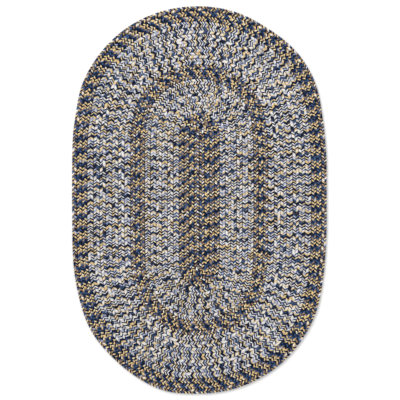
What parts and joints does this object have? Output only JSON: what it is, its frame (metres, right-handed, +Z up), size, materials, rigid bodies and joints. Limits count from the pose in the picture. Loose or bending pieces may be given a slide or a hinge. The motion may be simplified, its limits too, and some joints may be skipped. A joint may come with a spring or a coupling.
{
  "type": "braided rug",
  "caption": "Flat racetrack-oval rug of closed herringbone braid rows laced edge to edge in dark and light zones.",
  "frame": {"origin": "middle of the rug, on the floor", "axes": "+Z up from the floor through the rug, +Y along its length, +X across its width"},
  "size_m": [0.5018, 0.7643, 0.009],
  "materials": {
    "dark_braid": "matte herringbone braid of navy, gold, tan and slate yarns",
    "light_braid": "matte herringbone braid of ivory, slate, navy and gold yarns"
  },
  "bodies": {
    "root": {"centre_braid_1": "dark_braid", "centre_braid_2": "dark_braid", "centre_braid_3": "dark_braid", "centre_braid_4": "dark_braid", "inner_field_braid_1": "light_braid", "inner_field_braid_2": "light_braid", "inner_field_braid_3": "light_braid", "inner_field_braid_4": "light_braid", "inner_field_braid_5": "light_braid", "inner_field_braid_6": "light_braid", "middle_band_braid_1": "dark_braid", "middle_band_braid_2": "dark_braid", "middle_band_braid_3": "dark_braid", "outer_field_braid_1": "light_braid", "outer_field_braid_2": "light_braid", "outer_field_braid_3": "light_braid", "outer_field_braid_4": "light_braid", "outer_field_braid_5": "light_braid", "outer_field_braid_6": "light_braid", "outer_field_braid_7": "light_braid", "border_braid_1": "dark_braid", "border_braid_2": "dark_braid", "border_braid_3": "dark_braid"}
  },
  "joints": []
}
